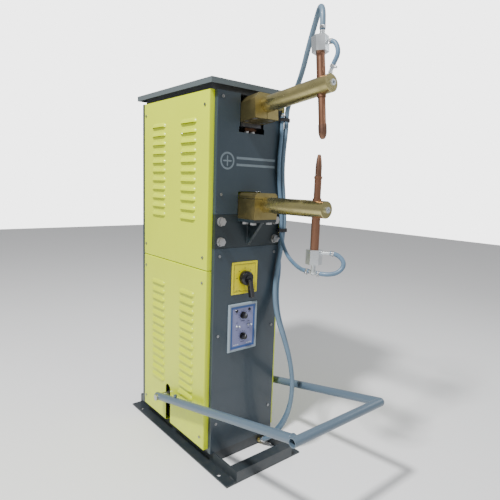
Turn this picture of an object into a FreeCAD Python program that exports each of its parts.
import FreeCAD, Part
import math
import os

# Foot-operated rocker-arm spot welder.  Units are millimetres and degrees.
# Origin: on the floor, at the centre of the base frame's four anchor holes.
# +Z is up, +X is to the operator's right as they face the machine, -Y points at the operator.

V = FreeCAD.Vector
X_AXIS = V(1, 0, 0)
Y_AXIS = V(0, 1, 0)
Z_AXIS = V(0, 0, 1)

# ---------------------------------------------------------------- driving dimensions
# Base frame of 40 x 40 x 5 angle
BASE_HALF_W = 165.5
BASE_HALF_L = 345.0
ANGLE = 40.0
ANGLE_T = 5.0
ANCHOR_X = 150.0
ANCHOR_Y = 280.0
ANCHOR_R = 7.0
CAB_RAIL_Y = (-208.0, 200.0)          # front edges of the two rails under the cabinet

# Cabinet
CAB_HALF_W = 160.5
CAB_FRONT = -198.0
CAB_BACK = 239.0
BACK_Y = 252.0                        # outside of the back cover
CAB_BOTTOM = 55.0
CAB_TOP = 1255.0
SEAM_Z = 683.0
SEAM_GAP = 2.0
SHEET = 1.5
FOLD = 20.0
FOLD_R = 4.0
POST = 40.0
POST_T = 4.0
POST_X = 138.5
POST_BACK = 237.0

# Louvres: a dome pressed out of the sheet, open along its lower edge
LOUVRE_COLUMNS_Y = (-79.0, 122.5)
LOUVRE_HALF_L = 49.0
LOUVRE_PROUD = 8.0
LOUVRE_RISE = 15.0
LOUVRE_WALL = 1.2
UPPER_LOUVRES = (845.0, 31.6, 11)     # lowest lip height, pitch, count
LOWER_LOUVRES = (209.0, 31.3, 13)

# Front panels
FRONT_HALF_W = 140.5
FRONT_Y = -213.0
FRONT_SHEET = 2.0
LOWER_PANEL_Z = (40.5, 756.0)
PLATE_Z = (757.0, 867.0)
UPPER_PANEL_Z = (868.0, 1254.5)
PLATE_BOLT_X = 118.0
PLATE_BOLT_Z = (779.0, 845.0)
PLATE_BOLT_R = 8.0
PLATE_BOLT_HEAD = (24.0, 10.0)        # across flats, height
PLATE_WASHER = (15.0, 3.0)            # radius, thickness
GUSSET_T = 12.0
GUSSET_Y = -284.0
ROCKER_WINDOW = (50.0, 1152.0)        # half width, sill height
SHUNT_RECESS = (54.0, 1134.0)         # the lower, wider part of the same window
NOTCH_Z = 943.0
SWITCH_HOLE_R = 26.0

# Lid
LID_HALF_W = 170.5
LID_Y = (-223.0, 277.0)
LID_Z = (1269.0, 1287.0)

# Lower arm and its clamp block
ARM_R = 25.0
LOWER_ARM_Z = 903.0
ELECTRODE_Y = -516.0
ARM_OVERHANG = 38.0
BLOCK_HALF_W = 48.5
LOWER_BLOCK_Y = (-298.0, -213.2)
LOWER_BLOCK_Z = (855.0, 921.0, 922.5, 940.0)
CLAMP_BOLT_X = 34.0
CLAMP_BOLT_R = 6.0
CLAMP_HEAD = (19.0, 8.0)              # across flats, height
SHELF_T = 10.0
LOWER_BOLTS = [(x, y) for x in (-CLAMP_BOLT_X, CLAMP_BOLT_X) for y in (-276.0, -235.0)]

# Electrodes, measured along their own axis
HOLDER_R = 12.5
STEM_R = 10.2
HEX_AF = 42.0
HEX_L = 43.0
LOWER_HEX_Z = 743.0
UPPER_HEX_Z = 1293.0
NIPPLE_SHANK_R = 5.0
ARM_NIPPLE_L = 15.0
LOWER_TIP_Z = 1057.0
TIP_CLEAR = 0.5

# Rocker: drawn closed, with the electrode upright, then raised to its rest angle
PIVOT_Y = -139.0
PIVOT_Z = 1165.0
PIVOT_R = 15.0
REST_ANGLE = 6.2
UPPER_ARM_Z = 1202.5
UPPER_BLOCK_Y = (-288.0, -208.0)
UPPER_BLOCK_Z = (1158.0, 1238.0)
UPPER_BOLTS = [(x, y) for x in (-CLAMP_BOLT_X, CLAMP_BOLT_X) for y in (-268.0, -228.0)]
COUNTERBORE_R = 12.0
COUNTERBORE_L = 9.0
SHUNT_BOLT_X = (-12.0, 14.0)
SHUNT_BOLT_Y = -195.0
SHUNT_BOLT_Z = 1132.4
SHUNT_BOLT_R = 4.0
RUN_CLEAR = 0.05
TOUCH_GAP = 0.4                       # left between a moving piece and one that only follows it

# Pedal
SHAFT_Y = 45.0
SHAFT_Z = 166.0
SHAFT_R = 11.0
SHAFT_HALF_L = 214.0
PIPE_R = 13.45
PIPE_WALL = 2.6
PEDAL_REAR_X = 195.0
PEDAL_FRONT_X = 179.0
FOOT_BAR_Y = -655.0
FOOT_BAR_Z = 320.0
FOOT_BAR_LEFT = -198.0

# Push rod between the pedal's inner lever and the rocker's tail
ROD_Y = 198.0
ROD_R = 9.0
PEDAL_LEVER_L = 153.5
PEDAL_LEVER_REST = 6.83
CLEVIS_PIN_R = 6.0
CLEVIS_Z = 147.8
GUIDE_Z = (946.0, 954.0)

# Transformer inside the cabinet
CORE = (60.0, 112.0, 320.0, 580.0)    # half width, half depth, underside, top
CORE_WINDOW = (30.0, 72.0)            # near and far edge of each window from the middle
COIL_HALF = (94.0, 70.0)
COIL_Z = ((368.0, 434.0), (466.0, 532.0))
TURN_Z = (438.0, 462.0)
BUS_Y = (-66.0, -44.0)
BUS_W = 22.0
BUS_LOW_Z = (893.0, 913.0)
BUS_HIGH_Z = (1040.0, 1060.0)

# Control panel on the lower front panel
SWITCH_X = -13.0
SWITCH_Z = 650.5
SWITCH_PLATE = (108.5, 110.0)
SWITCH_BORDER = 5.0
KNOB_DISC_R = 25.0
LEVER = (17.0, 16.0, 68.0)            # width, depth and length of the switch's lever
LEVER_LEAN = 11.0
TIMER_X = -16.5
TIMER_Z = (393.0, 562.0)
TIMER_HALF_W = 62.5
KNOB_Z = (444.5, 519.0)
TOGGLE_X = (TIMER_X - 25.5, TIMER_X + 25.5)
TOGGLE_Z = 481.5
LAMP_X = (TIMER_X - 28.0, TIMER_X + 28.0)
LAMP_Z = 536.0
CONTROL_HOLES = ((4.5, [(TIMER_X, z) for z in KNOB_Z]), (5.0, [(x, TOGGLE_Z) for x in TOGGLE_X]),
                 (4.0, [(x, LAMP_Z) for x in LAMP_X]))

# Hoses, and the barbs they are pushed on to
HOSE_R = 8.0
THIN_HOSE_R = 6.4
NIPPLE_R = 6.9
KNEE_L = 11.0
TEE_Z = 719.0
TIE_L = 12.0
TIE_T = 1.8

# Routes, each point chosen by hand; the first and last points lie on the fittings
ROUTE_UPPER = [
    (0, -503, 1392), (0, -503, 1424), (8, -491, 1456), (25, -466, 1467), (43, -438, 1446),
    (58, -399, 1386), (76, -356, 1310), (102, -300, 1264), (127, -252, 1242), (143, -226, 1214),
    (145, -225, 1160), (137, -224, 1080), (135.5, -224.5, 1000), (148, -224, 915), (155, -224.5, 850),
    (151.5, -225, 805), (143, -226, 740), (128, -226, 672), (114, -230, 590), (105, -256, 508), (107, -303, 425),
    (113, -336, 340), (115, -345, 245), (109, -330, 150), (98, -290, 75), (90, -252, 38), (86, -224, 22)]
ROUTE_LINK = [
    (125.5, -223.5, 1212), (125.5, -223.5, 1180), (124, -224.5, 1130), (118.5, -224, 1070),
    (117.5, -224.5, 1000), (131, -224, 915), (139.8, -225, 850), (136, -226.5, 806), (129, -247, 766),
    (116, -274, 745),
    (93, -318, 726), (60, -384, 714), (28, -440, 713), (0, -477, 719), (0, -500, 719)]
ROUTE_RETURN = [
    (150, -205.8, 786), (150, -205.8, 756), (149.5, -211, 712), (144.5, -221, 658), (131.5, -225, 596),
    (121, -248, 508), (122, -291, 425), (127, -322, 340), (129, -332, 245), (122, -316, 156),
    (114, -279, 84), (107, -246, 44), (106, -224, 22)]
ROUTE_LOOP = [
    (0, -532, 719), (0, -546, 719), (10, -565, 719), (28, -581, 724), (43, -589, 738), (47, -589, 756),
    (43, -575, 771), (33.6, -560.8, 778), (27, -552, 778)]
ROUTE_SHORT = [
    (0, -529, 1356), (0, -543, 1356), (2, -555, 1344), (3, -561, 1326), (2, -558, 1311),
    (0, -550.1, 1297.5), (0, -544.2, 1284.8)]

# Covers are held by round-headed screws
SCREW_R = 2.5
SCREW_HEAD_R = 4.8
SCREW_HEAD_L = 2.4
SCREW_L = 12.0


# ---------------------------------------------------------------- small shape helpers
def box(x0, x1, y0, y1, z0, z1):
    return Part.makeBox(x1 - x0, y1 - y0, z1 - z0, V(x0, y0, z0))


def cyl(start, direction, radius, length):
    return Part.makeCylinder(radius, length, V(*start), direction)


def pipe(start, direction, outer, inner, length):
    return cyl(start, direction, outer, length).cut(cyl(start, direction, inner, length))


def hexagon(start, direction, across_flats, length, turn=0.0):
    """A hexagonal bar that begins at start; across_flats is measured between opposite faces."""
    radius = across_flats / math.sqrt(3)
    corners = []
    for k in range(7):
        a = math.radians(60 * k + turn)
        corners.append(V(radius * math.cos(a), radius * math.sin(a), 0))
    bar = Part.Face(Part.makePolygon(corners)).extrude(V(0, 0, length))
    bar.Placement = FreeCAD.Placement(V(*start), FreeCAD.Rotation(Z_AXIS, direction))
    return bar


def plate_yz(points, x0, x1):
    """A flat plate whose outline is given in the YZ plane, between two X positions."""
    wire = Part.makePolygon([V(x0, y, z) for y, z in points + points[:1]])
    return Part.Face(wire).extrude(V(x1 - x0, 0, 0))


def fuse(shapes):
    whole = shapes[0].multiFuse(shapes[1:])
    return whole.removeSplitter()


def cut(shape, tools):
    for tool in tools:
        shape = shape.cut(tool)
    return shape


def mirrored(shape):
    return shape.mirror(V(0, 0, 0), X_AXIS)


def both_sides(shape):
    return [shape, mirrored(shape)]


def raise_rocker(shape):
    """Turn a piece of the rocker from its closed place up to its rest angle."""
    turned = shape.copy()
    turned.rotate(V(0, PIVOT_Y, PIVOT_Z), X_AXIS, -REST_ANGLE)
    return turned


def save(name, shapes):
    shape = shapes if isinstance(shapes, Part.Shape) else Part.makeCompound(shapes)
    if not shape.isValid():
        print("NOT VALID", name)
    shape.exportStep(os.path.join("parts", name + ".step"))
    print(f"{name:24s} solids {len(shape.Solids):3d}  volume {shape.Volume / 1000:9.1f} cm3")


def route_wire(points):
    """Straight runs joined by tangent arcs; each arc is as large as its two runs allow."""
    pts = [V(*p) for p in points]
    edges = []
    radii = []
    start = pts[0]
    for before, corner, after in zip(pts, pts[1:], pts[2:]):
        run_in = corner - before
        run_out = after - corner
        turn = run_in.getAngle(run_out)
        reach = 0.45 * min(run_in.Length, run_out.Length)
        radii.append(reach / math.tan(turn / 2))
        into = V(run_in).normalize()
        out = V(run_out).normalize()
        arc_start = corner - into * reach
        arc_end = corner + out * reach
        centre_way = (out - into).normalize()
        sag = radii[-1] * (1 / math.cos(turn / 2) - 1)
        middle = corner + centre_way * sag
        edges.append(Part.LineSegment(start, arc_start).toShape())
        edges.append(Part.Arc(arc_start, middle, arc_end).toShape())
        start = arc_end
    edges.append(Part.LineSegment(start, pts[-1]).toShape())
    return Part.Wire(edges), radii


def sweep(wire, profile):
    return wire.makePipeShell([profile], True, False)


def hose(name, points, radius):
    wire, radii = route_wire(points)
    pts = [V(*p) for p in points]
    ring = Part.Wire(Part.makeCircle(radius, pts[0], pts[1] - pts[0]))
    tube = sweep(wire, ring)
    share = tube.Volume / (math.pi * radius ** 2 * wire.Length)
    print(f"{name}: length {wire.Length:.0f}, volume over section x length {share:.3f}, smallest radius",
          f"{min(radii):.0f}; radii", [round(r) for r in radii])
    save(name, tube)


def spring(centre_xy, z0, z1, coil_r, wire_r, turns):
    height = z1 - z0 - 2 * wire_r
    helix = Part.makeHelix(height / turns, height, coil_r)
    ring = Part.Wire(Part.makeCircle(wire_r, V(coil_r, 0, 0), V(0, coil_r, height / turns / 2 / math.pi)))
    coil = Part.Wire(helix).makePipeShell([ring], True, True)
    coil.translate(V(centre_xy[0], centre_xy[1], z0 + wire_r))
    return coil


def bolt(start, direction, shank_r, length, head_af, head_l, washer=True):
    """A hexagon bolt: its head's underside is at start and its shank runs along direction."""
    way = V(direction)
    head_start = V(*start) - way * head_l
    solids = [hexagon(tuple(head_start), direction, head_af, head_l), cyl(start, direction, shank_r, length)]
    if washer:
        solids.append(cyl(start, direction, shank_r * 1.9, shank_r * 0.3))
    return fuse(solids)


def pan_screw(start, direction):
    """A round-headed screw with a cross slot; direction points into the panel."""
    way = V(direction)
    head_start = V(*start) - way * SCREW_HEAD_L
    head = cyl(tuple(head_start), direction, SCREW_HEAD_R, SCREW_HEAD_L)
    slot_l = SCREW_HEAD_R * 1.2
    slot_w = SCREW_HEAD_R * 0.3
    slot = Part.makeBox(slot_l, slot_w, SCREW_HEAD_L * 0.4, V(-slot_l / 2, -slot_w / 2, 0))
    slot.Placement = FreeCAD.Placement(head_start, FreeCAD.Rotation(Z_AXIS, way))
    turned = slot.copy()
    turned.rotate(V(*start), way, 90)
    return fuse([cut(head, [slot, turned]), cyl(start, direction, SCREW_R, SCREW_L)])


def screw_places():
    """Where each cover screw goes: a point on the outside of its cover and the way in."""
    places = []
    for side in (-1, 1):
        into_side = X_AXIS * -side
        places += [((side * CAB_HALF_W, y, z), into_side) for y in (-175, 222) for z in (95, 640, 725, 1210)]
        places += [((side * 120, FRONT_Y, z), Y_AXIS) for z in (146, 460, 731, 932, 1236)]
        places += [((side * 145, BACK_Y, z), Y_AXIS * -1) for z in (90, 460, 840, 1220)]
        places += [((side * 152, y, LID_Z[1]), Z_AXIS * -1) for y in (-205, 258)]
    return places


def drilled(cover):
    """The cover with a hole for every screw that passes through it."""
    shanks = [cyl(start, way, SCREW_R, SCREW_L) for start, way in screw_places()]
    return cover.cut(Part.makeCompound(shanks))


# ---------------------------------------------------------------- base and cabinet frame
def base_side_rails():
    inner = BASE_HALF_W - ANGLE
    flange = box(inner, BASE_HALF_W, -BASE_HALF_L, BASE_HALF_L, 0, ANGLE_T)
    leg = box(inner - ANGLE_T, inner, -BASE_HALF_L, BASE_HALF_L, 0, ANGLE)
    holes = [cyl((ANCHOR_X, y, -1), Z_AXIS, ANCHOR_R, ANGLE_T + 2) for y in (-ANCHOR_Y, ANCHOR_Y)]
    return both_sides(cut(fuse([flange, leg]), holes))


def base_cross_rails():
    half = BASE_HALF_W - ANGLE - ANGLE_T
    end_rail = fuse([
        box(-half, half, -BASE_HALF_L, -BASE_HALF_L + ANGLE_T, 0, ANGLE),
        box(-half, half, -BASE_HALF_L, -BASE_HALF_L + ANGLE, ANGLE - ANGLE_T, ANGLE)])
    rails = [end_rail, end_rail.mirror(V(0, 0, 0), Y_AXIS)]
    front_y, rear_y = CAB_RAIL_Y
    front = fuse([box(-half, half, front_y, front_y + ANGLE_T, 0, ANGLE),
                  box(-half, half, front_y, front_y + ANGLE, ANGLE - ANGLE_T, ANGLE)])
    knees = [bulkhead_knee(route)[0] for route in (ROUTE_UPPER, ROUTE_RETURN)]
    holes = [cyl((knee.x, front_y - 1, knee.z), Y_AXIS, NIPPLE_R + 0.1, ANGLE_T + 2) for knee in knees]
    rear = fuse([box(-half, half, rear_y + ANGLE - ANGLE_T, rear_y + ANGLE, 0, ANGLE),
                 box(-half, half, rear_y, rear_y + ANGLE, ANGLE - ANGLE_T, ANGLE)])
    return rails + [cut(front, holes), rear]


def cabinet_frame():
    """Four posts with the bars, side plates, guide and top ring that are welded to them."""
    inner = POST_X - POST
    front_post = fuse([box(inner, POST_X, CAB_FRONT, CAB_FRONT + POST_T, ANGLE, CAB_TOP - 1),
                       box(POST_X - POST_T, POST_X, CAB_FRONT, CAB_FRONT + POST, ANGLE, CAB_TOP - 1)])
    bolt_holes = [cyl((PLATE_BOLT_X, CAB_FRONT - 1, z), Y_AXIS, PLATE_BOLT_R + 0.5, POST_T + 2)
                  for z in PLATE_BOLT_Z]
    front_post = cut(front_post, bolt_holes)
    rear_post = fuse([box(inner, POST_X, POST_BACK - POST_T, POST_BACK, ANGLE, CAB_TOP - 1),
                      box(POST_X - POST_T, POST_X, POST_BACK - POST, POST_BACK, ANGLE, CAB_TOP - 1)])
    bar_y = (CAB_FRONT + POST, POST_BACK - POST)
    bars = [box(POST_X - POST_T, POST_X, bar_y[0], bar_y[1], z, z + 30) for z in (290.0, 668.0, 1220.0)]
    side_plate = box(90.5, inner, CAB_FRONT, -84, 1085, 1235)
    side_plate = cut(side_plate, [cyl((80, PIVOT_Y, PIVOT_Z), X_AXIS, PIVOT_R, 30)])
    solids = []
    for piece in [front_post, rear_post, side_plate] + bars:
        solids += both_sides(piece)
    guide = box(-inner, inner, POST_BACK - POST - 15, POST_BACK - POST_T - 1, *GUIDE_Z)
    solids.append(cut(guide, [cyl((0, ROD_Y, GUIDE_Z[0] - 1), Z_AXIS, ROD_R + RUN_CLEAR, 10)]))
    for y in (-112.0, 84.0):
        solids.append(box(-POST_X + POST_T, POST_X - POST_T, y, y + 28, 320 - 10, 320))
    ring = box(-148, 148, -199, 246, CAB_TOP, LID_Z[1] - SHEET)
    solids.append(cut(ring, [box(-138, 138, -189, 236, CAB_TOP - 1, LID_Z[1])]))
    return solids


# ---------------------------------------------------------------- side trays, back, lid
def louvre_pair():
    """The pressed dome of one louvre and the slot behind it, at lip height 0 on the face x = 0."""
    radius = (LOUVRE_RISE ** 2 + LOUVRE_PROUD ** 2) / (2 * LOUVRE_PROUD)
    centre_x = radius - LOUVRE_PROUD
    half = LOUVRE_HALF_L - LOUVRE_RISE

    def capsule(r):
        ends = [Part.makeSphere(r, V(centre_x, y, 0)) for y in (-half, half)]
        return cyl((centre_x, -half, 0), Y_AXIS, r, 2 * half).fuse(ends[0]).fuse(ends[1])

    outer = capsule(radius)
    inner = capsule(radius - LOUVRE_WALL)
    room = box(-LOUVRE_PROUD - 1, SHEET / 2, -LOUVRE_HALF_L - 1, LOUVRE_HALF_L + 1, 0, LOUVRE_RISE + 1)
    dome = outer.cut(inner).common(room)
    through = box(-1, SHEET + 1, -LOUVRE_HALF_L - 1, LOUVRE_HALF_L + 1, 0, LOUVRE_RISE + 1)
    return dome, inner.common(through)


def side_tray(z0, z1, louvres, slotted):
    outer = box(-CAB_HALF_W, -CAB_HALF_W + FOLD, CAB_FRONT, CAB_BACK, z0, z1)
    front_edges = [e for e in outer.Edges if e.BoundBox.XMax < -CAB_HALF_W + 0.1]
    outer = outer.makeFillet(FOLD_R, front_edges)
    inner = box(-CAB_HALF_W + SHEET, -CAB_HALF_W + FOLD + 1, CAB_FRONT + SHEET, CAB_BACK - SHEET,
                z0 + SHEET, z1 - SHEET)
    inner_edges = [e for e in inner.Edges if e.BoundBox.XMax < -CAB_HALF_W + SHEET + 0.1]
    tray = outer.cut(inner.makeFillet(FOLD_R - SHEET, inner_edges))
    dome, opening = louvre_pair()
    lowest, pitch, count = louvres
    places = [V(-CAB_HALF_W, y, lowest + pitch * k) for y in LOUVRE_COLUMNS_Y for k in range(count)]
    domes = []
    openings = []
    for place in places:
        domes.append(dome.translated(place))
        openings.append(opening.translated(place))
    tray = tray.cut(Part.makeCompound(openings))
    tray = tray.multiFuse(domes)
    if slotted:
        top_z = SHAFT_Z + 23
        tray = tray.cut(box(-CAB_HALF_W - 1, -CAB_HALF_W + FOLD + 1, SHAFT_Y - 17, SHAFT_Y + 17, z0 - 1, top_z))
        tray = tray.cut(cyl((-CAB_HALF_W - 1, SHAFT_Y, top_z), X_AXIS, 17, FOLD + 2))
    return drilled(tray)


def back_cover():
    y0 = CAB_BACK + 0.5
    outer = box(-CAB_HALF_W, CAB_HALF_W, y0, BACK_Y, CAB_BOTTOM, CAB_TOP)
    inner = box(-CAB_HALF_W + SHEET, CAB_HALF_W - SHEET, y0 - 1, BACK_Y - SHEET,
                CAB_BOTTOM + SHEET, CAB_TOP - SHEET)
    vents = [box(-70, 70, 240, 260, z, z + 8) for z in range(1020, 1181, 20)]
    gland = cyl((-70, 240, 150), Y_AXIS, 12.5, 20)
    return drilled(cut(outer.cut(inner), vents + [gland]))


def top_lid():
    outer = box(-LID_HALF_W, LID_HALF_W, *LID_Y, *LID_Z)
    rim_edges = [e for e in outer.Edges if e.BoundBox.ZMin > LID_Z[1] - 0.1]
    outer = outer.makeFillet(2.0, rim_edges)
    inner = box(-LID_HALF_W + SHEET, LID_HALF_W - SHEET, LID_Y[0] + SHEET, LID_Y[1] - SHEET,
                LID_Z[0] - 1, LID_Z[1] - SHEET)
    return drilled(outer.cut(inner))


# ---------------------------------------------------------------- front panels
def front_tray(z0, z1):
    outer = box(-FRONT_HALF_W, FRONT_HALF_W, FRONT_Y, CAB_FRONT, z0, z1)
    upright = [e for e in outer.Edges if e.BoundBox.YMax < FRONT_Y + 0.1 and e.BoundBox.ZLength > 50]
    outer = outer.makeFillet(3.0, upright)
    inner = box(-FRONT_HALF_W + FRONT_SHEET, FRONT_HALF_W - FRONT_SHEET, FRONT_Y + FRONT_SHEET, CAB_FRONT + 1,
                z0 + FRONT_SHEET, z1 - FRONT_SHEET)
    return drilled(outer.cut(inner))


def front_panel_upper():
    half, sill = ROCKER_WINDOW
    window = box(-half, half, FRONT_Y - 1, CAB_FRONT + 1, sill, UPPER_PANEL_Z[1] + 1)
    recess_half, recess_sill = SHUNT_RECESS
    recess = box(-recess_half, recess_half, FRONT_Y - 1, CAB_FRONT + 1, recess_sill, sill)
    notch = box(-half, half, FRONT_Y - 1, CAB_FRONT + 1, UPPER_PANEL_Z[0] - 1, NOTCH_Z)
    return cut(front_tray(*UPPER_PANEL_Z), [window, recess, notch])


def front_panel_lower():
    panel = front_tray(*LOWER_PANEL_Z)
    switch_hole = cyl((SWITCH_X, FRONT_Y - 1, SWITCH_Z), Y_AXIS, SWITCH_HOLE_R, 10)
    timer_hole = box(TIMER_X - 50, TIMER_X + 50, FRONT_Y - 1, CAB_FRONT + 1, TIMER_Z[0] + 12, TIMER_Z[1] - 12)
    return cut(panel, [switch_hole, timer_hole])


def front_plate():
    """The thick plate that carries the lower arm, with its welded shelf and gusset."""
    plate = box(-FRONT_HALF_W, FRONT_HALF_W, FRONT_Y, CAB_FRONT, *PLATE_Z)
    plate = cut(plate, [cyl((s * PLATE_BOLT_X, FRONT_Y - 1, z), Y_AXIS, PLATE_BOLT_R + 0.5, 20)
                        for s in (-1, 1) for z in PLATE_BOLT_Z])
    shelf_z = LOWER_BLOCK_Z[0]
    under = shelf_z - SHELF_T
    shelf = box(-BLOCK_HALF_W, BLOCK_HALF_W, LOWER_BLOCK_Y[0] + 2, FRONT_Y, under, shelf_z)
    shelf = cut(shelf, [cyl((x, y, under - 1), Z_AXIS, CLAMP_BOLT_R + 0.5, SHELF_T + 2) for x, y in LOWER_BOLTS])
    half_t = GUSSET_T / 2
    gusset = plate_yz([(FRONT_Y, under), (GUSSET_Y, under), (FRONT_Y, PLATE_Z[0] + 6)], -half_t, half_t)
    return fuse([plate, shelf, gusset])


def plate_bolts():
    bolts = []
    washer_r, washer_t = PLATE_WASHER
    for side in (-1, 1):
        for z in PLATE_BOLT_Z:
            place = (side * PLATE_BOLT_X, FRONT_Y - washer_t, z)
            bolts.append(bolt(place, Y_AXIS, PLATE_BOLT_R, 34, *PLATE_BOLT_HEAD, False))
            bolts.append(pipe(place, Y_AXIS, washer_r, PLATE_BOLT_R, washer_t))
    return bolts


def cover_screws():
    return [pan_screw(start, way) for start, way in screw_places()]


# ---------------------------------------------------------------- lower arm
def lower_block():
    y0, y1 = LOWER_BLOCK_Y
    z0, split_low, split_high, z1 = LOWER_BLOCK_Z
    bore = cyl((0, y0 - 1, LOWER_ARM_Z), Y_AXIS, ARM_R, y1 - y0 + 2)
    holes = [cyl((x, y, z0 - 1), Z_AXIS, CLAMP_BOLT_R, z1 - z0 - 8) for x, y in LOWER_BOLTS]
    body = cut(box(-BLOCK_HALF_W, BLOCK_HALF_W, y0, y1, z0, split_low), [bore] + holes)
    cap = box(-BLOCK_HALF_W, BLOCK_HALF_W, y0, y1, split_high, z1)
    long_edges = [e for e in cap.Edges if e.BoundBox.ZMin > z1 - 0.1 and e.BoundBox.YLength > 50]
    cap = cut(cap.makeChamfer(9.0, long_edges), [bore] + holes)
    return [body, cap]


def lower_arm():
    end_y = ELECTRODE_Y - ARM_OVERHANG
    bar = cyl((0, end_y, LOWER_ARM_Z), Y_AXIS, ARM_R, LOWER_BLOCK_Y[1] - end_y)
    rim = [e for e in bar.Edges if e.BoundBox.YMax < end_y + 0.1]
    bar = bar.makeChamfer(1.5, rim)
    cross = cyl((0, ELECTRODE_Y, LOWER_ARM_Z - 40), Z_AXIS, HOLDER_R, 80)
    plug = cyl((0, end_y - 1, LOWER_ARM_Z), Y_AXIS, 8, 21)
    water_way = cyl((0, ELECTRODE_Y + 22, LOWER_ARM_Z), Y_AXIS, 8, 260)
    return cut(bar, [cross, plug, water_way])


def arm_end_plug(z):
    """Hexagon socket plug that clamps the electrode from the arm's end."""
    end_y = ELECTRODE_Y - ARM_OVERHANG
    head = cyl((0, end_y - 6, z), Y_AXIS, 9, 6)
    head = head.cut(hexagon((0, end_y - 7, z), Y_AXIS, 8, 6))
    return fuse([head, cyl((0, end_y, z), Y_AXIS, 8, 20)])


def clamp_bolts_lower():
    z = LOWER_BLOCK_Z[0] - SHELF_T
    return [bolt((x, y, z), Z_AXIS, CLAMP_BOLT_R, 85, *CLAMP_HEAD, False) for x, y in LOWER_BOLTS]


def ogive(start, direction, radius, length, face_r):
    """A pointed tip: a straight stretch, then sides that bow in to a small flat face."""
    body = length * 0.42
    shoulder = V(face_r * 1.7, 0, length - face_r * 0.9)
    middle = V((radius + shoulder.x) / 2 + radius * 0.08, 0, (body + shoulder.z) / 2)
    foot, corner, waist = V(0, 0, 0), V(radius, 0, 0), V(radius, 0, body)
    rim, top = V(face_r, 0, length), V(0, 0, length)
    edges = [Part.LineSegment(foot, corner).toShape(), Part.LineSegment(corner, waist).toShape(),
             Part.Arc(waist, middle, shoulder).toShape(), Part.LineSegment(shoulder, rim).toShape(),
             Part.LineSegment(rim, top).toShape(), Part.LineSegment(top, foot).toShape()]
    solid = Part.Face(Part.Wire(edges)).revolve(foot, Z_AXIS, 360)
    solid.Placement = FreeCAD.Placement(V(*start), FreeCAD.Rotation(Z_AXIS, direction))
    return solid


def lower_electrode_holder():
    foot = LOWER_HEX_Z + HEX_L
    neck = LOWER_ARM_Z + ARM_R + 6
    top = 996.0
    solids = [cyl((0, ELECTRODE_Y, foot), Z_AXIS, HOLDER_R, neck - foot),
              cyl((0, ELECTRODE_Y, neck), Z_AXIS, STEM_R, top - neck),
              cyl((0, ELECTRODE_Y, top - 7), Z_AXIS, STEM_R + 1.6, 7)]
    return fuse(solids).cut(cyl((0, ELECTRODE_Y, foot - 1), Z_AXIS, 5, 190))


def lower_electrode_tip():
    return ogive((0, ELECTRODE_Y, 996), Z_AXIS, 9.2, LOWER_TIP_Z - 996, 3.0)


def barb(start, direction, hose_r, length):
    """A hose barb: a stem with two rings that the hose is pushed over."""
    way = V(direction).normalize()
    stem = cyl(start, way, hose_r - 2.2, length)
    rings = [cyl(tuple(V(*start) + way * (length * k)), way, hose_r - 0.8, length * 0.18) for k in (0.25, 0.6)]
    collar = cyl(start, way, hose_r + 1.2, length * 0.12)
    return fuse([stem, collar] + rings)


def lower_electrode_cap():
    """Hexagon cap with the hose tee under it and a barb out of its side."""
    nut = hexagon((0, ELECTRODE_Y, LOWER_HEX_Z), Z_AXIS, HEX_AF, HEX_L, 15)
    spigot = cyl((0, ELECTRODE_Y, TEE_Z), Z_AXIS, 6.5, LOWER_HEX_Z - TEE_Z)
    knuckle = Part.makeSphere(9.0, V(0, ELECTRODE_Y, TEE_Z))
    front_end = V(*ROUTE_LOOP[0])
    front = barb((0, ELECTRODE_Y - 4, TEE_Z), Y_AXIS * -1, THIN_HOSE_R, ELECTRODE_Y - 4 - front_end.y)
    rear_end = V(*ROUTE_LINK[-1])
    rear = barb((0, ELECTRODE_Y + 4, TEE_Z), Y_AXIS, THIN_HOSE_R, rear_end.y - ELECTRODE_Y - 4)
    side_end = V(*ROUTE_LOOP[-1])
    reach = side_end - V(0, ELECTRODE_Y, side_end.z)
    side_way = V(reach).normalize()
    side_start = side_end - side_way * 26
    side = barb(tuple(side_start), side_way, THIN_HOSE_R, 26)
    return fuse([nut, spigot, knuckle, front, rear, side])


# ---------------------------------------------------------------- rocker
def upper_arm():
    end_y = ELECTRODE_Y - ARM_OVERHANG
    bar = cyl((0, end_y, UPPER_ARM_Z), Y_AXIS, ARM_R, UPPER_BLOCK_Y[1] - end_y)
    rim = [e for e in bar.Edges if e.BoundBox.YMax < end_y + 0.1]
    bar = bar.makeChamfer(1.5, rim)
    cross = cyl((0, ELECTRODE_Y, UPPER_ARM_Z - 40), Z_AXIS, HOLDER_R, 80)
    plug = cyl((0, end_y - 1, UPPER_ARM_Z), Y_AXIS, 8, 21)
    water_way = cyl((0, ELECTRODE_Y + 22, UPPER_ARM_Z), Y_AXIS, 8, 230)
    raised = raise_rocker(cut(bar, [cross, plug, water_way]))
    base, way = arm_nipple_line()
    return raised.cut(cyl(tuple(base - way * 7), way, NIPPLE_SHANK_R, 14))


def upper_block():
    y0, y1 = UPPER_BLOCK_Y
    z0, z1 = UPPER_BLOCK_Z
    block = box(-BLOCK_HALF_W, BLOCK_HALF_W, y0, y1, z0, z1)
    long_edges = [e for e in block.Edges if e.BoundBox.ZMin > z1 - 0.1 and e.BoundBox.YLength > 50]
    block = block.makeChamfer(20.0, long_edges)
    bore = cyl((0, y0 - 1, UPPER_ARM_Z), Y_AXIS, ARM_R, y1 - y0 + 2)
    split = box(-1, 1, y0 - 1, y1 + 1, z0 - 1, UPPER_ARM_Z)
    holes = []
    for x, y in UPPER_BOLTS:
        holes.append(cyl((x, y, z0 - 1), Z_AXIS, CLAMP_BOLT_R, 40))
        holes.append(cyl((x, y, z0 - 1), Z_AXIS, COUNTERBORE_R, COUNTERBORE_L + 1))
    return raise_rocker(cut(block, [bore, split] + holes))


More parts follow.
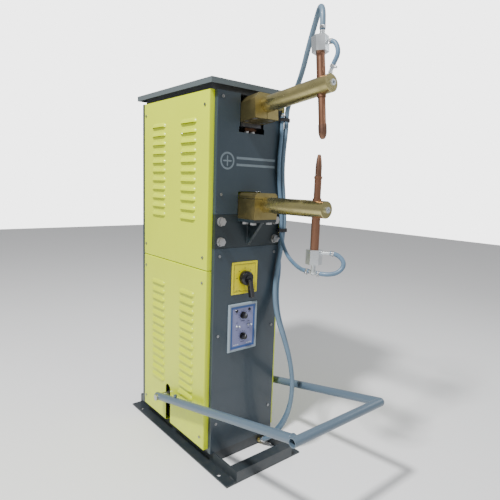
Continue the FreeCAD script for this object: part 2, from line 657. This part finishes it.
def clamp_bolts_upper():
    """Four bolts sunk into the block's underside, and the two that hold the shunt's end under the boss."""
    z = UPPER_BLOCK_Z[0] + COUNTERBORE_L
    solids = [bolt((x, y, z), Z_AXIS, CLAMP_BOLT_R, 27, *CLAMP_HEAD, False) for x, y in UPPER_BOLTS]
    solids += [bolt((x, SHUNT_BOLT_Y, SHUNT_BOLT_Z), Z_AXIS, SHUNT_BOLT_R, 30, 14, 6) for x in SHUNT_BOLT_X]
    return [raise_rocker(solid) for solid in solids]


def rocker_lever():
    """Forged lever: boss for the clamp block, hub on the pivot shaft, tail with the rod's hole."""
    tail_y = ROD_Y + 24
    boss = box(-42, 42, UPPER_BLOCK_Y[1], -178, 1146, 1218)
    web = box(-20, 20, -200, tail_y, PIVOT_Z - 20, PIVOT_Z + 20)
    hub = cyl((-80, PIVOT_Y, PIVOT_Z), X_AXIS, 30, 160)
    bore = cyl((-90, PIVOT_Y, PIVOT_Z), X_AXIS, PIVOT_R + RUN_CLEAR, 180)
    rod_hole = cyl((0, ROD_Y, PIVOT_Z - 30), Z_AXIS, 14, 60)
    shunt_holes = [cyl((x, SHUNT_BOLT_Y, SHUNT_BOLT_Z), Z_AXIS, SHUNT_BOLT_R, 30) for x in SHUNT_BOLT_X]
    return raise_rocker(cut(fuse([boss, web, hub]), [bore, rod_hole] + shunt_holes))


def upper_electrode_holder():
    foot = 1097.0
    neck = UPPER_ARM_Z - ARM_R - 6
    top = UPPER_HEX_Z
    solids = [cyl((0, ELECTRODE_Y, foot), Z_AXIS, STEM_R + 0.4, neck - foot),
              cyl((0, ELECTRODE_Y, neck), Z_AXIS, HOLDER_R, top - neck)]
    return raise_rocker(fuse(solids).cut(cyl((0, ELECTRODE_Y, foot + 8), Z_AXIS, 5, 200)))


def upper_electrode_tip():
    start = LOWER_TIP_Z + TIP_CLEAR + 40
    return raise_rocker(ogive((0, ELECTRODE_Y, start - 0.5), Z_AXIS * -1, 12.0, 39.5, 5.0))


def upper_electrode_cap():
    """Hexagon cap with a spigot on top for the long hose and a barb in front for the short one."""
    z0 = UPPER_HEX_Z
    nut = raise_rocker(hexagon((0, ELECTRODE_Y, z0), Z_AXIS, HEX_AF, HEX_L, 15))
    top = raise_rocker(Part.Vertex(0, ELECTRODE_Y, z0 + HEX_L)).Point
    end = V(*ROUTE_UPPER[0])
    spigot = cyl((end.x, end.y, top.z - 3), Z_AXIS, 9, 9)
    up = barb((end.x, end.y, top.z + 5), Z_AXIS, HOSE_R, end.z - TOUCH_GAP - top.z - 5)
    side_end = V(*ROUTE_SHORT[0])
    side = barb((0, side_end.y + 19, side_end.z), Y_AXIS * -1, THIN_HOSE_R, 19)
    return fuse([nut, spigot, up, side])


def arm_nipple_line():
    """Where the short hose's nipple stands on the raised upper arm, and the way it points."""
    end = V(*ROUTE_SHORT[-1])
    way = (V(*ROUTE_SHORT[-2]) - end).normalize()
    return end - way * ARM_NIPPLE_L, way


def arm_nipple():
    """The barb near the upper arm's end that takes the short hose."""
    base, way = arm_nipple_line()
    shank = cyl(tuple(base - way * 6), way, NIPPLE_SHANK_R, 12)
    return fuse([shank, barb(tuple(base + way * 4.2), way, THIN_HOSE_R, ARM_NIPPLE_L - 4.2)])


# ---------------------------------------------------------------- pivot, pedal and push rod
def pivot_shaft():
    shaft = cyl((-104, PIVOT_Y, PIVOT_Z), X_AXIS, PIVOT_R, 208)
    collars = [pipe((x, PIVOT_Y, PIVOT_Z), X_AXIS, 24, PIVOT_R, 5) for x in (82.0, -87.0)]
    return [shaft] + collars


def pedal_shaft():
    return cyl((-SHAFT_HALF_L, SHAFT_Y, SHAFT_Z), X_AXIS, SHAFT_R, 2 * SHAFT_HALF_L)


def pedal_tubes():
    """Two arms and the foot bar of gas pipe; the right corner is rounded, the left one stays open."""
    solids = []
    bar_start = V(FOOT_BAR_LEFT, FOOT_BAR_Y, FOOT_BAR_Z)
    corner = V(PEDAL_FRONT_X, FOOT_BAR_Y, FOOT_BAR_Z)
    inner_r = PIPE_R - PIPE_WALL
    bar_l = corner.x - bar_start.x
    bar = cyl(tuple(bar_start), X_AXIS, PIPE_R, bar_l)
    shaft_hole = cyl((-300, SHAFT_Y, SHAFT_Z), X_AXIS, SHAFT_R, 600)
    knee = Part.makeSphere(PIPE_R, corner)
    for sx in (-1, 1):
        rear = V(sx * PEDAL_REAR_X, SHAFT_Y, SHAFT_Z)
        front = V(sx * PEDAL_FRONT_X, FOOT_BAR_Y, FOOT_BAR_Z)
        way = (front - rear).normalize()
        start = rear - way * 20
        length = (front - start).Length
        arm = cyl(tuple(start), way, PIPE_R, length)
        hollow = cyl(tuple(start + way * 4), way, inner_r, length - 30)
        arm = arm.cut(hollow).cut(shaft_hole)
        arm = fuse([arm, knee]) if sx > 0 else arm.cut(bar)
        solids.append(arm)
    hollow_bar = cyl(tuple(bar_start - V(1, 0, 0)), X_AXIS, inner_r, bar_l - 40)
    solids.append(bar.cut(hollow_bar).cut(solids[1]))
    lug = cyl((-PEDAL_REAR_X + 2.5, -64, 201), Z_AXIS, 4, 14)
    lug = fuse([lug, cyl((-PEDAL_REAR_X + 2.5, -64, 208), Z_AXIS, 6.5, 5)])
    solids.append(lug.cut(solids[0]))
    return solids


def pedal_lever():
    angle = -PEDAL_LEVER_REST
    hub = pipe((-14, SHAFT_Y, SHAFT_Z), X_AXIS, 20, SHAFT_R, 28)
    bar = box(-8, 8, SHAFT_Y + 14, SHAFT_Y + PEDAL_LEVER_L + 16, SHAFT_Z - 14, SHAFT_Z + 14)
    slot_y = SHAFT_Y + PEDAL_LEVER_L
    slot_r = CLEVIS_PIN_R + 0.4
    slot = fuse([cyl((-10, slot_y - 1.6, SHAFT_Z), X_AXIS, slot_r, 20),
                 cyl((-10, slot_y + 1.6, SHAFT_Z), X_AXIS, slot_r, 20),
                 box(-10, 10, slot_y - 1.6, slot_y + 1.6, SHAFT_Z - slot_r, SHAFT_Z + slot_r)])
    lever = fuse([hub, bar]).cut(slot)
    lever.rotate(V(0, SHAFT_Y, SHAFT_Z), X_AXIS, angle)
    return lever


def pedal_bearings():
    inner = BASE_HALF_W - ANGLE - ANGLE_T
    block = box(inner - 22, inner, SHAFT_Y - 32, SHAFT_Y + 32, ANGLE_T, SHAFT_Z)
    head = cyl((inner - 22, SHAFT_Y, SHAFT_Z), X_AXIS, 32, 22)
    bore = cyl((inner - 30, SHAFT_Y, SHAFT_Z), X_AXIS, SHAFT_R + RUN_CLEAR, 40)
    relief = box(inner - 14, inner + 1, SHAFT_Y - 20, SHAFT_Y + 20, ANGLE + 10, SHAFT_Z - 36)
    return both_sides(cut(fuse([block, head]), [bore, relief]))


def rod_clevis():
    z = CLEVIS_Z
    fork = box(-18, 18, ROD_Y - 13, ROD_Y + 13, z - 13, z + 44)
    fork = fork.cut(box(-9, 9, ROD_Y - 14, ROD_Y + 14, z - 14, z + 26))
    pin_hole = cyl((-20, ROD_Y, z), X_AXIS, CLEVIS_PIN_R, 40)
    pin = cyl((-22, ROD_Y, z), X_AXIS, CLEVIS_PIN_R, 44)
    return [cut(fork, [pin_hole, cyl((0, ROD_Y, z + 30), Z_AXIS, ROD_R, 20)]), pin]


def push_rod():
    """The rod with its collar and its nuts above and below the rocker's tail."""
    foot = CLEVIS_Z + 30
    rod = cyl((0, ROD_Y, foot), Z_AXIS, ROD_R, 1186 - foot)
    collar = pipe((0, ROD_Y, 838), Z_AXIS, 22, ROD_R, 8)
    seat_low = pipe((0, ROD_Y, 1000), Z_AXIS, 24, ROD_R, 8)
    seat_high = pipe((0, ROD_Y, 1099), Z_AXIS, 20, ROD_R, 6)
    nuts = [hexagon((0, ROD_Y, z), Z_AXIS, 27, 14).cut(cyl((0, ROD_Y, z - 1), Z_AXIS, ROD_R, 16))
            for z in (986.0, 1153.0, 1168.0)]
    return [rod, collar, seat_low, seat_high] + nuts


# ---------------------------------------------------------------- transformer and wiring pieces
def transformer_core():
    half_x, half_y, z0, z1 = CORE
    core = box(-half_x, half_x, -half_y, half_y, z0, z1)
    near, far = CORE_WINDOW
    windows = [box(-half_x - 1, half_x + 1, y0, y1, z0 + 45, z1 - 45) for y0, y1 in ((-far, -near), (near, far))]
    return cut(core, windows)


def primary_coils():
    half_x, half_y = COIL_HALF
    coils = []
    for z0, z1 in COIL_Z:
        ring = box(-half_x, half_x, -half_y, half_y, z0, z1)
        upright = [e for e in ring.Edges if e.BoundBox.ZLength > 50]
        ring = ring.makeFillet(16.0, upright)
        coils.append(ring.cut(box(-62, 62, -31, 31, z0 - 1, z1 + 1)))
    return coils


def secondary_conductors():
    """One copper turn round the core, and the bars that lead it to the two arms."""
    z0, z1 = TURN_Z
    half_x = COIL_HALF[0]
    turn = box(-half_x, half_x, -68, 68, z0, z1).cut(box(-63, 63, -32, 32, z0 - 1, z1 + 1))
    turn = turn.cut(box(-20, 20, -69, -31, z0 - 1, z1 + 1))
    y0, y1 = BUS_Y
    out = half_x + BUS_W
    low, high = BUS_LOW_Z
    lower = [box(half_x, out, y0, y1, z0, high), box(24, out, y0, y1, low, high),
             box(-24, 24, FRONT_Y, y1, low, high)]
    low, high = BUS_HIGH_Z
    upper = [box(-out, -half_x, y0, y1, z0, high), box(-out, 24, y0, y1, low, high)]
    return [turn, fuse(lower), fuse(upper)]


def flexible_shunt():
    """Laminated copper strip in an S from the upper bus bar to the rocker's boss."""
    points = [(0, -46, 1065.2), (0, -125, 1065.6), (0, -176, 1143), (0, -206, 1146.3)]
    wire, radii = route_wire(points)
    half_w = 24
    half_t = 5
    start = V(*points[0])
    corners = [start + V(x, 0, z) for x, z in
               ((-half_w, -half_t), (half_w, -half_t), (half_w, half_t), (-half_w, half_t), (-half_w, -half_t))]
    print("flexible_shunt: bend radii", [round(r) for r in radii])
    strip = sweep(wire, Part.makePolygon(corners))
    holes = [raise_rocker(cyl((x, SHUNT_BOLT_Y, SHUNT_BOLT_Z - 5), Z_AXIS, SHUNT_BOLT_R + TOUCH_GAP, 40))
             for x in SHUNT_BOLT_X]
    return cut(strip, holes)


def contactor():
    """Mounting plate on the left side bars with the contactor, fuses and terminal strip."""
    plate_x = -131
    plate = box(plate_x - 3, plate_x, -150, 190, 700, 930)
    body = box(plate_x, -60, 10, 90, 760, 880)
    ribs = [box(-60, -54, y, y + 18, 775, 865) for y in (14, 41, 68)]
    strip = box(plate_x, -100, 0, 110, 715, 745)
    fuses = [box(plate_x, -96, y, y + 20, 800, 870) for y in (100, 128, 156)]
    return [plate, fuse([body] + ribs), strip] + fuses


# ---------------------------------------------------------------- controls
def switch_plate():
    width, height = SWITCH_PLATE
    x0, x1 = SWITCH_X - width / 2, SWITCH_X + width / 2
    z0, z1 = SWITCH_Z - height / 2, SWITCH_Z + height / 2
    rim = SWITCH_BORDER
    plate = box(x0, x1, FRONT_Y - 4.2, FRONT_Y, z0, z1)
    field = box(x0 + rim, x1 - rim, FRONT_Y - 5, FRONT_Y - 3, z0 + rim, z1 - rim)
    hole = cyl((SWITCH_X, FRONT_Y - 10, SWITCH_Z), Y_AXIS, 6.6, 20)
    return cut(plate, [field, hole])


def switch_body():
    half = 28
    body = cyl((SWITCH_X, FRONT_Y, SWITCH_Z), Y_AXIS, SWITCH_HOLE_R - 1, 62)
    case = box(SWITCH_X - half, SWITCH_X + half, -190, -150, SWITCH_Z - half, SWITCH_Z + half)
    return fuse([body, case]).cut(cyl((SWITCH_X, FRONT_Y - 1, SWITCH_Z), Y_AXIS, 6.6, 20))


def switch_handle():
    """Round domed knob with a lever that hangs almost straight down at rest."""
    face = FRONT_Y - 4.8
    width, depth, length = LEVER
    disc = cyl((SWITCH_X, face - 20, SWITCH_Z), Y_AXIS, KNOB_DISC_R, 20)
    disc = disc.makeFillet(8.0, [e for e in disc.Edges if e.BoundBox.YMax < face - 19.9])
    lever = Part.makeBox(width, depth, length, V(-width / 2, face - 34, -length))
    lever = lever.makeFillet(5.0, [e for e in lever.Edges if e.BoundBox.YLength > 10 or e.BoundBox.YMax < face - 33])
    lever.rotate(V(0, 0, 0), Y_AXIS, -LEVER_LEAN)
    lever.translate(V(SWITCH_X, 0, SWITCH_Z))
    neck = cyl((SWITCH_X, face - 24, SWITCH_Z), Y_AXIS, 12, 10)
    shaft = cyl((SWITCH_X, face - 1, SWITCH_Z), Y_AXIS, 6, 22)
    return fuse([disc, lever, neck, shaft])


def control_holes(y, length):
    """The holes that the timer's knobs, toggles and lamps pass through."""
    return [cyl((x, y, z), Y_AXIS, radius, length) for radius, places in CONTROL_HOLES for x, z in places]


def timer_panel():
    z0, z1 = TIMER_Z
    x0 = TIMER_X - TIMER_HALF_W
    x1 = TIMER_X + TIMER_HALF_W
    outer = box(x0, x1, FRONT_Y - 7, FRONT_Y, z0, z1)
    outer = outer.makeChamfer(3.0, [e for e in outer.Edges if e.BoundBox.YMax < FRONT_Y - 6.9])
    panel = outer.cut(box(x0 + 8, x1 - 8, FRONT_Y - 8, FRONT_Y - 4, z0 + 8, z1 - 8))
    return cut(panel, control_holes(FRONT_Y - 10, 20))


def timer_box():
    """Case of the weld timer, with the bodies of its controls on the front."""
    case = box(TIMER_X - 48, TIMER_X + 48, -208, -140, TIMER_Z[0] + 14, TIMER_Z[1] - 14)
    case = case.cut(box(TIMER_X - 46, TIMER_X + 46, -206, -142, TIMER_Z[0] + 16, TIMER_Z[1] - 16))
    board = box(TIMER_X - 44, TIMER_X + 44, -152, -150, TIMER_Z[0] + 20, TIMER_Z[1] - 20)
    return [cut(case, control_holes(-210, 6)), board]


def timer_knob(z):
    face = FRONT_Y - 4.5
    skirt = cyl((TIMER_X, face - 4, z), Y_AXIS, 12.5, 4)
    grip = cyl((TIMER_X, face - 16, z), Y_AXIS, 9.5, 12)
    grip = grip.makeFillet(1.5, [e for e in grip.Edges if e.BoundBox.YMax < face - 15.9])
    flutes = []
    for k in range(12):
        a = math.radians(30 * k)
        flutes.append(cyl((TIMER_X + 10.4 * math.cos(a), face - 17, z + 10.4 * math.sin(a)), Y_AXIS, 1.6, 13))
    knob = grip.cut(Part.makeCompound(flutes))
    pointer = box(TIMER_X - 0.8, TIMER_X + 0.8, face - 16.6, face - 4, z + 2, z + 9)
    shaft = cyl((TIMER_X, face - 1, z), Y_AXIS, 3, 26)
    return fuse([skirt, knob, pointer, shaft])


def toggle(x):
    """A bat-shaped toggle lever, tipped up at rest."""
    ball = Part.makeSphere(4.2, V(x, FRONT_Y - 4, TOGGLE_Z))
    bat = Part.makeCone(2.0, 3.4, 16, V(x, FRONT_Y - 4, TOGGLE_Z), Y_AXIS * -1)
    tip = Part.makeSphere(3.4, V(x, FRONT_Y - 20, TOGGLE_Z))
    pin = cyl((x - 4.7, FRONT_Y - 4, TOGGLE_Z), X_AXIS, 1.2, 9.4)
    lever = fuse([ball, bat, tip, pin])
    lever.rotate(V(x, FRONT_Y - 4, TOGGLE_Z), X_AXIS, -12)
    return lever


def indicator_lamps():
    lamps = []
    for x in LAMP_X:
        dome = Part.makeSphere(5.5, V(x, FRONT_Y - 4, LAMP_Z)).common(
            box(x - 9, x + 9, FRONT_Y - 14, FRONT_Y - 4, LAMP_Z - 9, LAMP_Z + 9))
        lamps.append(fuse([dome, cyl((x, FRONT_Y - 4, LAMP_Z), Y_AXIS, 3.9, 16)]))
    return lamps


# ---------------------------------------------------------------- water fittings
def bulkhead_knee(route):
    """The bend of the bulkhead fitting at a route's last point, and the way its stem points."""
    end = V(*route[-1])
    way = (V(*route[-2]) - end).normalize()
    return end - way * KNEE_L, way


def water_nipples():
    """Two bulkhead barbs through the front cabinet rail and an elbow each on the panel and the plate's side."""
    solids = []
    rail_y = CAB_RAIL_Y[0]
    for route, r in ((ROUTE_UPPER, HOSE_R), (ROUTE_RETURN, THIN_HOSE_R)):
        knee, way = bulkhead_knee(route)
        body = cyl(tuple(knee), Y_AXIS, NIPPLE_R, rail_y + 22 - knee.y)
        flange = hexagon((knee.x, rail_y - 4, knee.z), Y_AXIS, 16, 4)
        ball = Part.makeSphere(NIPPLE_R + 0.3, knee)
        solids.append(fuse([body, flange, ball, cyl(tuple(knee), way, r - 2.2, KNEE_L)]))
    link = V(*ROUTE_LINK[0])
    corner = link + V(0, 0, 13)
    fitting_x = corner.x - 19
    elbow = cyl((fitting_x, corner.y - 6, corner.z), Y_AXIS, 6.5, FRONT_Y - corner.y + 6)
    arm = cyl((fitting_x, corner.y, corner.z), X_AXIS, 4.5, corner.x - fitting_x)
    bend = Part.makeSphere(5.6, corner)
    solids.append(fuse([elbow, arm, bend, barb(tuple(corner), Z_AXIS * -1, THIN_HOSE_R, 13)]))
    back = V(*ROUTE_RETURN[0])
    turn_z = back.z + 16
    stub = cyl((FRONT_HALF_W, back.y, turn_z), X_AXIS, 6.2, back.x - FRONT_HALF_W)
    knuckle = Part.makeSphere(6.2, V(back.x, back.y, turn_z))
    solids.append(fuse([stub, knuckle, barb((back.x, back.y, turn_z), Z_AXIS * -1, THIN_HOSE_R, 16)]))
    return solids


def tie_band(x0, x1, y, z, radius):
    """A band round one hose or a pair of them, with a foot that reaches back to the panel."""
    def stadium(r, z0, height):
        ends = [cyl((x, y, z0), Z_AXIS, r, height) for x in (x0, x1)]
        return fuse(ends + [box(x0, x1, y - r, y + r, z0, z0 + height)]) if x1 > x0 else ends[0]
    band = stadium(radius + TIE_T, z, TIE_L).cut(stadium(radius, z - 1, TIE_L + 2))
    foot = box(x0 - 6, x0 + 1, y + radius + 0.4, FRONT_Y, z, z + TIE_L)
    return fuse([band, foot])


def hose_ties():
    """Black bands that hold the hoses to the panel's right edge."""
    return [tie_band(125.3, 144, -225.6, 1184, 10.4), tie_band(136.3, 151.9, -226, 803, 10.6)]


def mains_gland():
    hexes = hexagon((-70, 252, 150), Y_AXIS, 30, 8)
    body = cyl((-70, 240, 150), Y_AXIS, 12.4, 34)
    dome = Part.makeCone(13, 10, 12, V(-70, 260, 150), Y_AXIS)
    return fuse([hexes, body, dome]).cut(cyl((-70, 230, 150), Y_AXIS, 6, 50))


def main():
    os.makedirs("parts", exist_ok=True)
    save("base_side_rails", base_side_rails())
    save("base_cross_rails", base_cross_rails())
    save("cabinet_frame", cabinet_frame())
    upper = side_tray(SEAM_Z + SEAM_GAP / 2, CAB_TOP, UPPER_LOUVRES, False)
    lower = side_tray(CAB_BOTTOM, SEAM_Z - SEAM_GAP / 2, LOWER_LOUVRES, True)
    save("side_tray_upper_left", upper)
    save("side_tray_upper_right", mirrored(upper))
    save("side_tray_lower_left", lower)
    save("side_tray_lower_right", mirrored(lower))
    save("back_cover", back_cover())
    save("top_lid", top_lid())
    save("front_panel_upper", front_panel_upper())
    save("front_plate", front_plate())
    save("front_panel_lower", front_panel_lower())
    save("plate_bolts", plate_bolts())
    save("cover_screws", cover_screws())
    save("lower_block", lower_block())
    save("lower_arm", lower_arm())
    save("lower_arm_plug", arm_end_plug(LOWER_ARM_Z))
    save("lower_block_bolts", clamp_bolts_lower())
    save("lower_electrode_holder", lower_electrode_holder())
    save("lower_electrode_tip", lower_electrode_tip())
    save("lower_electrode_cap", lower_electrode_cap())
    save("upper_arm", upper_arm())
    save("upper_arm_fittings", [raise_rocker(arm_end_plug(UPPER_ARM_Z)), arm_nipple()])
    save("upper_block", upper_block())
    save("upper_block_bolts", clamp_bolts_upper())
    save("rocker_lever", rocker_lever())
    save("upper_electrode_holder", upper_electrode_holder())
    save("upper_electrode_tip", upper_electrode_tip())
    save("upper_electrode_cap", upper_electrode_cap())
    save("pivot_shaft", pivot_shaft())
    save("pedal_shaft", pedal_shaft())
    save("pedal_tubes", pedal_tubes())
    save("pedal_lever", pedal_lever())
    save("pedal_bearings", pedal_bearings())
    save("push_rod", push_rod() + rod_clevis())
    save("pressure_spring", spring((0, ROD_Y), 1008, 1099, 15, 3, 8))
    save("return_spring", spring((0, ROD_Y), 846, GUIDE_Z[0], 15, 2.5, 8))
    save("transformer_core", transformer_core())
    save("primary_coils", primary_coils())
    save("secondary_conductors", secondary_conductors())
    save("flexible_shunt", flexible_shunt())
    save("contactor", contactor())
    save("switch_plate", switch_plate())
    save("switch_body", switch_body())
    save("switch_handle", switch_handle())
    save("timer_panel", timer_panel())
    save("timer_box", timer_box())
    save("weld_time_knob", timer_knob(KNOB_Z[1]))
    save("weld_heat_knob", timer_knob(KNOB_Z[0]))
    save("power_toggle", toggle(TOGGLE_X[0]))
    save("mode_toggle", toggle(TOGGLE_X[1]))
    save("indicator_lamps", indicator_lamps())
    save("water_nipples", water_nipples())
    save("hose_ties", hose_ties())
    save("mains_gland", mains_gland())
    hose("hose_upper", ROUTE_UPPER, HOSE_R)
    hose("hose_link", ROUTE_LINK, THIN_HOSE_R)
    hose("hose_return", ROUTE_RETURN, THIN_HOSE_R)
    hose("hose_loop", ROUTE_LOOP, THIN_HOSE_R)
    hose("hose_short", ROUTE_SHORT, THIN_HOSE_R)


main()
